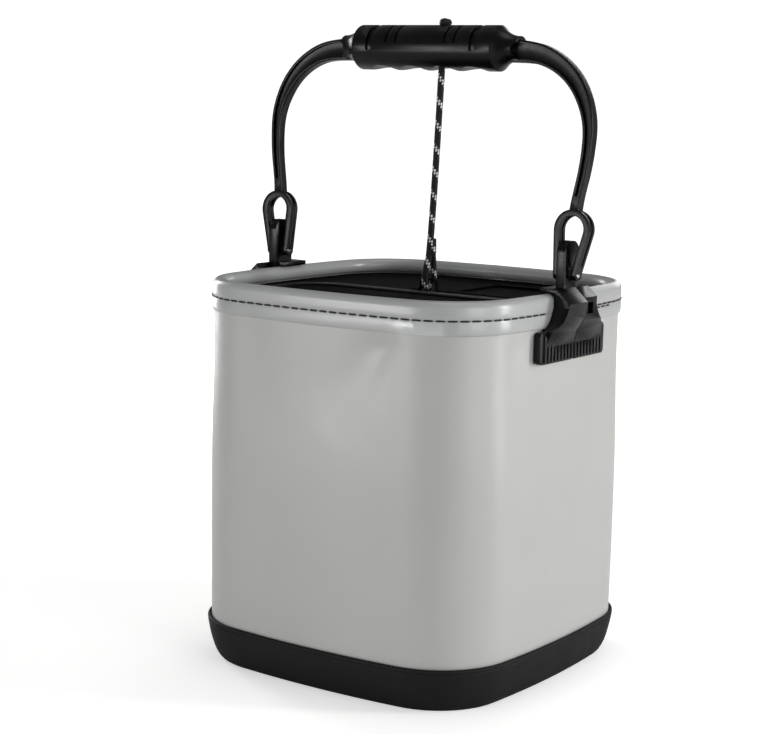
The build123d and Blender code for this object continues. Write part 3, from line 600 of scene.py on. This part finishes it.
def zipPlace(distance, out):
    # A point along the zipper's U from its left-hand end, and the way outwards there
    half, back, corner = zipper["half"], zipper["back"], zipper["corner"]
    side = -1 if distance < zipLength / 2 else 1
    rest = min(distance, zipLength - distance)
    if rest < zipLeg:
        spot, way = Vector((side * half, zipper["hinge"] + rest, 0)), Vector((side, 0, 0))
    elif rest < zipLeg + zipBend:
        turn = (rest - zipLeg) / corner
        way = Vector((side * math.cos(turn), math.sin(turn), 0))
        spot = Vector((side * (half - corner), back - corner, 0)) + way * corner
    else:
        spot, way = Vector((side * (half - corner - (rest - zipLeg - zipBend)), back, 0)), Vector((0, 1, 0))
    return spot + way * out, way


def coverWave(x, y):
    # Wrinkles of the cloth, flat where the binding, the zipper and the window's hem hold it
    near, far = cover["zipHeld"]
    half, back = zipper["half"], zipper["back"]
    toLegs = abs(abs(x) - half) if y < back + near else math.inf
    toBack = abs(y - back) if abs(x) < half + near else math.inf
    fromZip = min(toLegs, toBack)
    fromEdge = min(cover["half"] - abs(x), cover["half"] - abs(y))
    fromHinge = abs(y - zipper["hinge"])
    held = ease(fromZip, near, far)
    held *= ease(fromEdge, *cover["edgeHeld"]) * ease(fromHinge, *cover["hingeHeld"])
    broad, fine = noise.noise(Vector((x / 26, y / 38, 2.0))), noise.noise(Vector((x / 9, y / 13, 7.0)))
    return cover["wrinkle"] * (broad + 0.4 * fine) * held


def thicken(bm, thickness):
    bmesh.ops.solidify(bm, geom=bm.faces, thickness=thickness)
    bmesh.ops.recalc_face_normals(bm, faces=bm.faces)
    return bm


def gridOver(x, y, z, columns, rows):
    # A flat grid between two values of x and two of y
    bm = bmesh.new()
    bmesh.ops.create_grid(bm, x_segments=columns, y_segments=rows, size=1)
    for vert in bm.verts:
        vert.co = Vector(((x[0] + x[1]) / 2 + vert.co.x * (x[1] - x[0]) / 2,
                          (y[0] + y[1]) / 2 + vert.co.y * (y[1] - y[0]) / 2, z))
    return bm


def clothSlab(name, low, high):
    # A dense sheet with its wrinkles and thickness, before it is cut to shape
    bm = bmesh.new()
    cells = int(2 * cover["reach"] / cover["cell"])
    bmesh.ops.create_grid(bm, x_segments=cells, y_segments=cells, size=cover["reach"])
    for vert in bm.verts:
        vert.co.z = high + coverWave(vert.co.x, vert.co.y)
    return makeObject(thicken(bm, high - low), name, coverCloth)


def outlinePrism(grow):
    return sweepRound([(grow, z) for z in cutRange], 192, closed=False, capped=True)


def flapBlock(out, front=None):
    half, back = zipper["half"] + out, zipper["back"] + out
    front = zipper["hinge"] if front is None else front
    radius = zipper["corner"] + out
    return roundedBlock((-half, half), (front, back), cutRange, radius, lambda spot: spot.y > 0)


def stretched(obj):
    # Hands the cloth back as it is
    return obj


def makeCover():
    made = clothSlab("cover_cloth", cover["top"] - cover["thick"], cover["top"])
    cutWith(made, outlinePrism(cover["edge"] + 0.1), "INTERSECT")
    cutWith(made, flapBlock(zipper["cut"]), "DIFFERENCE")
    x, y = ((span[0] + window["lap"], span[1] - window["lap"]) for span in (window["x"], window["y"]))
    cutWith(made, roundedBlock(x, y, cutRange, 3.0), "DIFFERENCE")
    finishPiece(made, "rim", "cover_cloth", "cover_panel")
    return stretched(made)


def makeFlap():
    made = clothSlab("flap_cloth", cover["top"] - cover["thick"], cover["top"])
    cutWith(made, flapBlock(-zipper["cut"], flap["front"]), "INTERSECT")
    cutWith(made, roundedBlock(flap["notchX"], flap["notchY"], cutRange), "DIFFERENCE")
    finishPiece(made, "flap", "cover_cloth", "flap_panel")
    return stretched(made)


def makeFold():
    # The strip of cover cloth where the flap hinges, made as a flat strip; on the real bucket it bends when
    # the flap swings up
    bm = gridOver(fold["x"], fold["y"], cover["top"] + fold["lift"], fold["across"], fold["steps"])
    made = makeObject(thicken(bm, fold["thick"]), "flap_fold_cloth", coverCloth)
    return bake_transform(made)


def makeNet():
    # A net of square gaps, a little under 3 mm apart
    bm = gridOver(window["x"], window["y"], window["top"], window["columns"], window["rows"])
    bars = bmesh.ops.inset_individual(bm, faces=bm.faces[:], thickness=window["bar"])["faces"]
    gaps = [face for face in bm.faces if face.calc_area() > window["leastGap"] and face not in bars
            and all(len(edge.link_faces) == 2 for edge in face.edges)]
    bmesh.ops.delete(bm, geom=gaps, context="FACES")
    made = makeObject(thicken(bm, window["thick"]), "window_net", meshNylon)
    return finishPiece(made, "rim", "mesh_cloth", "mesh_window")


def makeWindowHem():
    # The flat tape that is sewn round the window
    x, y = ((span[0] - windowHem["past"], span[1] + windowHem["past"]) for span in (window["x"], window["y"]))
    bm = gridOver(x, y, cover["top"] + seatLift, 1, 1)
    bmesh.ops.bevel(bm, geom=bm.verts[:], offset=windowHem["corner"], segments=5, profile=0.5,
                    affect="VERTICES", material=-1)
    bmesh.ops.inset_region(bm, faces=bm.faces[:], thickness=windowHem["wide"], use_boundary=True,
                           use_even_offset=True)
    bmesh.ops.delete(bm, geom=[max(bm.faces, key=lambda face: face.calc_area())], context="FACES")
    made = makeObject(thicken(bm, -windowHem["thick"]), "window_hem_tape", coverCloth, smooth=False)
    return finishPiece(made, "rim", "binding")


def makeTape(name, body, near, far, first, last, *replaced):
    # The tape's section runs from the teeth outwards, its height given above the cover
    section = ((0.0, seatLift), (0.0, 0.62), (0.1, 0.8), (0.5, 0.74), (0.9, 0.66), (1.0, 0.4),
               (1.0, seatLift))
    profile = [(near + (far - near) * share, cover["top"] + rise) for share, rise in section]
    steps = int((last - first) / 2)
    lengths = [(last - first) * step / (steps - 1) for step in range(steps)]

    def place(index, step):
        out, z = profile[index]
        spot, way = zipPlace(first + lengths[step], out)
        return Vector((spot.x, spot.y, z))

    spread = runningLength(profile + profile[:1])
    bm = loftRings(len(profile), steps, place, capped=True, uAt=spread, vAt=lengths)
    return finishPiece(makeObject(bm, name, tapeCloth), body, "zip_tape", *replaced)


def makeTeeth(name, body, sign, first, last, *replaced):
    # One side of a coil zipper: each turn of the coil is a short rounded bar across the edge of the tape
    bm = bmesh.new()
    count = int((last - first) / zipper["pitch"])
    shift = 0 if sign > 0 else 0.5     # the two sides mesh half a pitch apart
    half = (zipper["toothFar"] - zipper["toothNear"]) / 2
    for i in range(count):
        distance = first + (i + shift + 0.25) * zipper["pitch"]
        middle, way = zipPlace(distance, sign * (zipper["toothNear"] + half))
        along = Vector((-way.y, way.x, 0))
        for vert in bmesh.ops.create_uvsphere(bm, u_segments=8, v_segments=5, radius=1)["verts"]:
            aside = vert.co.x * zipper["toothWide"] + vert.co.z * sign * zipper["toothSlant"]
            spot = middle + way * vert.co.z * half + along * aside
            vert.co = Vector((spot.x, spot.y, zipper["toothHeight"] + vert.co.y * zipper["toothTall"]))
    bmesh.ops.recalc_face_normals(bm, faces=bm.faces)
    return finishPiece(makeObject(bm, name, coilNylon), body, "zip_teeth", *replaced)


makeCover()
makeFlap()
makeFold()
makeNet()
makeWindowHem()
zipFree = zipLength - (zipper["freeBelow"] - zipper["hinge"])     # stops short of the parked slider
makeTape("zip_tape_fixed", "rim", zipper["tapeIn"], zipper["tapeOut"], 0.5, zipLength - 0.5, "fixed_zip_tape")
makeTape("zip_tape_flap", "flap", -zipper["tapeIn"], -zipper["tapeOut"], 1.0, zipFree, "flap_zip_tape")
makeTeeth("zip_coil_fixed", "rim", 1, 1.0, zipLength - 1.0, "fixed_zip_teeth")
makeTeeth("zip_coil_flap", "flap", -1, 1.5, zipFree, "flap_zip_teeth")
print("cover made")


# Rope: a short braided lanyard from the grip to an eye round a sewn tab

rope = {"radius": 2.0, "pitch": 13.5, "carriers": 8, "depth": 0.16, "sides": 32, "step": 0.35,
        "route": ((0.0085, 0.005404, 0.347698), (-0.0008, 0.0124, 0.2430), (-0.0034, 0.0107, 0.2310),
                  (-0.0040, 0.0114, 0.2203), (-0.0040, 0.0206, 0.2203), (-0.0034, 0.0194, 0.2310),
                  (-0.0013, 0.0150, 0.2410))}
splice = {"length": 10.0, "radius": 2.8, "taper": 0.6, "blunt": 0.4, "bluntOver": 2, "steps": 32,
          "offset": (0, 0.001, -0.003)}
knot = {"place": (0.0085, 0.00764, 0.3742), "lean": 4.9, "lift": 1.25, "size": 0.8, "rise": 0.6, "tube": 1.65,
        "points": 150, "innerTube": 1.9, "innerDrop": 0.2, "innerSteps": 60}


def evenLine(route, step):
    # Points in metres, evenly spaced along one smooth curve through the route
    data = bpy.data.curves.new("ropeLine", "CURVE")
    data.dimensions = "3D"
    data.resolution_u = 64
    spline = data.splines.new("NURBS")
    spline.points.add(len(route) - 1)
    for point, place in zip(spline.points, route):
        point.co = (*place, 1)
    spline.order_u = 3
    spline.use_endpoint_u = True
    holder = bpy.data.objects.new("ropeLine", data)
    bpy.context.scene.collection.objects.link(holder)
    bpy.context.view_layer.update()
    line = bpy.data.meshes.new_from_object(holder.evaluated_get(bpy.context.evaluated_depsgraph_get()))
    raw = [vert.co.copy() for vert in line.vertices]
    bpy.data.objects.remove(holder)
    lengths = runningLength(raw)
    count = int(lengths[-1] / (step * mm))
    points, at = [], 0
    for i in range(count + 1):
        goal = lengths[-1] * i / count
        while at < len(raw) - 2 and lengths[at + 1] < goal:
            at += 1
        share = (goal - lengths[at]) / (lengths[at + 1] - lengths[at])
        points.append(raw[at].lerp(raw[at + 1], share))
    return points, lengths[-1]


def braidHeight(turn, distance):
    # Height of the top strand and whether it is a white tracer, in a braid of two crossing sets of helices
    first = rope["carriers"] * (turn + distance / rope["pitch"])
    second = rope["carriers"] * (turn - distance / rope["pitch"])
    over = (math.floor(first) + math.floor(second)) % 2 == 0
    across = (first if over else second) % 1 - 0.5
    along = (second if over else first) % 1 - 0.5
    height = (1 - 2.6 * across * across) * (1 - 1.2 * along * along)
    white = over and math.floor(first) % rope["carriers"] in (0, 1)
    return height, 1.0 if white else 0.0


def braidTube(points, radiusAt, closed=False):
    # A braided tube in millimetres along points in metres. Its frame is carried along, so it doesn't twist
    spots = [point / mm for point in points]
    count = len(spots)
    ways = []
    for i in range(count):
        before = spots[i - 1] if i or closed else spots[i]
        after = spots[(i + 1) % count] if i < count - 1 or closed else spots[i]
        ways.append((after - before).normalized())
    side = ways[0].orthogonal().normalized()
    frames = []
    for way in ways:
        side = (side - way * side.dot(way)).normalized()
        frames.append((side.copy(), way.cross(side)))
    lengths = runningLength(spots)
    steps = count + 1 if closed else count
    sides = rope["sides"]

    def place(index, step):
        first, second = frames[step % count]
        distance = lengths[step % count]
        radius = radiusAt(distance) + (braidHeight(index / sides, distance)[0] - 0.8) * rope["depth"]
        turn = 2 * math.pi * index / sides
        return spots[step % count] + (first * math.cos(turn) + second * math.sin(turn)) * radius

    bm = loftRings(sides, steps, place, closed=closed, capped=not closed)
    tracer = bm.verts.layers.float.new("tracer")
    indexOf, stepOf = bm.verts.layers.int["ringIndex"], bm.verts.layers.int["ringStep"]
    for vert in bm.verts:
        vert[tracer] = braidHeight(vert[indexOf] / sides, lengths[vert[stepOf] % count])[1]
    return bm


def makeLanyard():
    # The rope with its splice, laid along the rope's route; on the real bucket both bend as the handle swings
    top, bottom = rope["route"][:2]
    line, length = evenLine(rope["route"], rope["step"])
    lanyard = makeObject(braidTube(line, lambda distance: rope["radius"]), "lanyard_rope", ropeBraid)
    finishPiece(lanyard, None, "rope_braid", "rope")

    start = Vector(bottom) + Vector(splice["offset"])
    way = (Vector(top) - Vector(bottom)).normalized()
    points = [start + way * (splice["length"] * mm * i / splice["steps"]) for i in range(splice["steps"] + 1)]

    def radiusAt(distance):
        blunt = splice["blunt"] * ease(splice["bluntOver"] - distance, 0, splice["bluntOver"])
        return splice["radius"] - splice["taper"] * distance / splice["length"] - blunt

    eye = makeObject(braidTube(points, radiusAt), "rope_eye_splice", ropeBraid)
    finishPiece(eye, None, "rope_braid", "rope_splice")
    for piece in (lanyard, eye):
        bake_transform(piece)
    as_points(line[::2])
    return length


def makeKnot():
    # An overhand stopper knot on top of the grip, and the rope's stretch through the grip
    lean = math.radians(knot["lean"])
    upwards = Vector((0, math.sin(lean), math.cos(lean)))
    sideways = Vector((0, math.cos(lean), -math.sin(lean)))
    centre = Vector(knot["place"]) + upwards * knot["lift"] * mm
    loop = []
    for i in range(knot["points"]):
        t = 2 * math.pi * i / knot["points"]
        x = (math.sin(t) + 2 * math.sin(2 * t)) * knot["size"]
        y = (math.cos(t) - 2 * math.cos(2 * t)) * knot["size"]
        z = -math.sin(3 * t) * knot["rise"]
        loop.append(centre + (Vector((1, 0, 0)) * x + sideways * y + upwards * z) * mm)
    tied = braidTube(loop, lambda distance: knot["tube"], closed=True)
    tied = makeObject(tied, "rope_stopper_knot", ropeBraid)
    finishPiece(tied, "handle", "rope_braid", "rope_top_knot")
    start = Vector(rope["route"][0]) - upwards * knot["innerDrop"] * mm
    line = [start.lerp(centre, i / knot["innerSteps"]) for i in range(knot["innerSteps"] + 1)]
    inner = makeObject(braidTube(line, lambda distance: knot["innerTube"]), "rope_in_grip", ropeBraid)
    return finishPiece(inner, "handle", "rope_braid")


tab = {"y": 16.0, "width": 3.4, "thick": 1.0, "left": -16.0, "right": 8.0, "legLeft": -9.5, "legRight": 1.5,
       "low": 218.5, "high": 225.4, "corner": 2.4}


def makeTab():
    # A narrow webbing strap, sewn down at both ends, that arches over the cover for the rope's eye
    low, high, bend = tab["low"], tab["high"], tab["corner"]
    line = [(tab["left"] + i, low) for i in range(4)]
    line += arcPoints((tab["legLeft"] - bend, low + bend), bend, -90, 0, 6)
    line += arcPoints((tab["legLeft"] + bend, high - bend), bend, 180, 90, 6)
    line += arcPoints((tab["legRight"] - bend, high - bend), bend, 90, 0, 6)
    line += arcPoints((tab["legRight"] + bend, low + bend), bend, 180, 270, 6)
    line += [(tab["right"] - 3 + i, low) for i in range(4)]
    half, thick = tab["width"] / 2, tab["thick"] / 2
    profile = [(-half, -0.5), (-half, 0.5), (-half + 0.3, 1), (0, 0.9), (half - 0.3, 1), (half, 0.5),
               (half, -0.5), (half - 0.3, -1), (0, -0.9), (-half + 0.3, -1)]

    def place(index, step):
        before, after = line[max(step - 1, 0)], line[min(step + 1, len(line) - 1)]
        way = Vector((after[0] - before[0], after[1] - before[1])).normalized()
        across, up = profile[index]
        x, z = line[step]
        return Vector((x - way.y * up * thick, tab["y"] + across, z + way.x * up * thick))

    spread = runningLength(profile + profile[:1])
    bm = loftRings(len(profile), len(line), place, capped=True, uAt=spread, vAt=runningLength(line))
    return finishPiece(makeObject(bm, "rope_webbing_tab", bindingCloth), "rim", "binding", "rope_tab")


ropeLength = makeLanyard()
makeKnot()
makeTab()
print("rope made", round(ropeLength, 4))


# Moulded and metal pieces: the CAD shapes with their edges eased

easing = {"weld": 2e-6, "flatAngle": 0.6, "sharpAngle": 30, "creaseAngle": 32}


def easedCopy(node, name, body, slotName, material, width):
    bm = bmesh.new()
    bm.from_mesh(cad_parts[node].data)
    bmesh.ops.remove_doubles(bm, verts=bm.verts, dist=easing["weld"])
    flat, least = math.radians(easing["flatAngle"]), math.radians(easing["sharpAngle"])
    bmesh.ops.dissolve_limit(bm, angle_limit=flat, verts=bm.verts, edges=bm.edges)
    sharp = [edge for edge in bm.edges if edge.is_manifold and edge.calc_face_angle() > least]
    bmesh.ops.bevel(bm, geom=sharp, offset=width * mm, segments=2, profile=0.5, affect="EDGES", material=-1,
                    clamp_overlap=True)
    bmesh.ops.triangulate(bm, faces=[face for face in bm.faces if len(face.verts) > 4])
    made = makeObject(bm, name, material, scale=1.0)
    made.data.set_sharp_from_angle(angle=math.radians(easing["creaseAngle"]))
    finishPiece(made, body, slotName, node)
    print(name, len(made.data.polygons))
    return made


easedCopy("handle", "bail_handle", "handle", "handle_plastic", handlePlastic, 0.3)
for side in ("right", "left"):
    easedCopy(side + "_clip_lever_half", side + "_lever_clip", "rim", "clip_plastic", clipNylon, 0.3)
    easedCopy(side + "_clip_latch_half", side + "_latch_clip", "rim", "clip_plastic", clipNylon, 0.3)
    easedCopy(side + "_pivot_pin", side + "_pin", "handle", "pin_steel", plainSteel, 0.25)
    easedCopy(side + "_backing_plate", side + "_inner_plate", "rim", "backing_plastic", backingPlastic, 0.2)
    easedCopy(side + "_clip_screws", side + "_screws", "rim", "screw_steel", plainSteel, 0.15)
easedCopy("zip_slider", "slider_body", "slider", "zip_metal", blackZinc, 0.15)
easedCopy("zip_puller", "puller_tab", "puller", "zip_metal", blackZinc, 0.12)
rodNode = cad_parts["rim_rod"]
rodNode.data.materials.clear()
rodNode.data.materials.append(rodPlastic)
print("moulded pieces made")


# Floor, lights and camera

studio = {"floorHex": "#f4f4f3", "floorLiftHex": "#f8f8f7", "floorReach": 30.0, "floorLift": (0.5, 1.0),
          "liftFrom": (0.35, 1.8), "whiteHex": "#ffffff", "worldLight": 0.2, "backdrop": 1.05}
lights = (   # name, place and target in metres, width and height in metres, power in watts
    ("softRight", (1.75, -0.45, 0.36), (0, 0, 0.13), (0.8, 0.8), 9),
    ("softFront", (-0.85, -2.05, 0.15), (0, 0, 0.1), (1.3, 0.6), 23),
    ("softTop", (0.1, 0.2, 2.3), (0, 0, 0.1), (1.2, 1.2), 6.5),
    ("stripLeft", (-1.6, 0.5, 0.4), (0, 0, 0.15), (0.4, 1.0), 11),
    ("stripRight", (1.55, 0.8, 0.5), (0, 0, 0.15), (0.3, 1.0), 17),
    ("softBack", (-0.3, 2.2, 0.8), (0, 0, 0.2), (1.2, 0.8), 7),
)
camera = {"azimuth": 34.204, "elevation": 10.452, "distance": 1.0994, "target": (0, 0, 0.1413), "lens": 84.9,
          "sensor": 36.0, "shift": (-0.0355, 0.0700), "roll": 1.25}


def makeFloor():
    # Painted paper sweep: matt and nearly white, and it pales into the backdrop away from the object
    made, tree, shader = startMaterial("paleFloor")
    place = addNode(tree, "TexCoord").outputs["Object"]
    shade = mixed(tree, noiseOf(tree, place, 3.0), studio["floorHex"], studio["floorLiftHex"])
    away = addNode(tree, "VectorMath", {"operation": "LENGTH"}, {0: place}).outputs["Value"]
    ray = addNode(tree, "LightPath").outputs["Is Camera Ray"]
    glow = multiplied(tree, remap(tree, away, studio["liftFrom"], *studio["floorLift"]), ray)
    feed(tree, shader, {"Base Color": shade, "Roughness": 0.9, "Specular IOR Level": 0.1,
                        "Emission Color": colour(studio["whiteHex"]), "Emission Strength": glow})
    bm = bmesh.new()
    bmesh.ops.create_circle(bm, cap_ends=True, segments=96, radius=studio["floorReach"])
    makeObject(bm, "floor", made, scale=1.0)


def makeWorld():
    # Dim for the lighting, and white where the camera sees it
    world = bpy.data.worlds.new("studio")
    bpy.context.scene.world = world
    world.use_nodes = True
    tree = world.node_tree
    white = colour(studio["whiteHex"])
    lit = tree.nodes["Background"]
    feed(tree, lit, {"Color": white, "Strength": studio["worldLight"]})
    seen = addNode(tree, "Background", inputs={"Color": white, "Strength": studio["backdrop"]})
    ray = addNode(tree, "LightPath").outputs["Is Camera Ray"]
    both = addNode(tree, "MixShader", inputs={0: ray, 1: lit.outputs[0], 2: seen.outputs[0]})
    feed(tree, tree.nodes["World Output"], {"Surface": both.outputs[0]})


def makeLights():
    for name, place, target, size, power in lights:
        data = bpy.data.lights.new(name, "AREA")
        data.shape = "RECTANGLE"
        data.size, data.size_y = size
        data.energy = power
        lamp = bpy.data.objects.new(name, data)
        bpy.context.scene.collection.objects.link(lamp)
        lamp.location = place
        lamp.rotation_euler = (Vector(target) - Vector(place)).to_track_quat("-Z", "Y").to_euler()


def makeCamera():
    turn, rise, roll = (math.radians(camera[k]) for k in ("azimuth", "elevation", "roll"))
    back = Vector((math.sin(turn) * math.cos(rise), -math.cos(turn) * math.cos(rise), math.sin(rise)))
    level = Vector((math.cos(turn), math.sin(turn), 0))
    above = back.cross(level)
    right = level * math.cos(roll) + above * math.sin(roll)
    up = above * math.cos(roll) - level * math.sin(roll)
    data = bpy.data.cameras.new("camera")
    data.lens, data.sensor_width = camera["lens"], camera["sensor"]
    data.shift_x, data.shift_y = camera["shift"]
    made = bpy.data.objects.new("camera", data)
    bpy.context.scene.collection.objects.link(made)
    place = Vector(camera["target"]) + back * camera["distance"]
    made.matrix_world = Matrix.Translation(place) @ Matrix((right, up, back)).transposed().to_4x4()
    bpy.context.scene.camera = made


makeFloor()
makeWorld()
makeLights()
makeCamera()
bpy.context.scene.view_settings.view_transform = "Standard"
print("studio made")
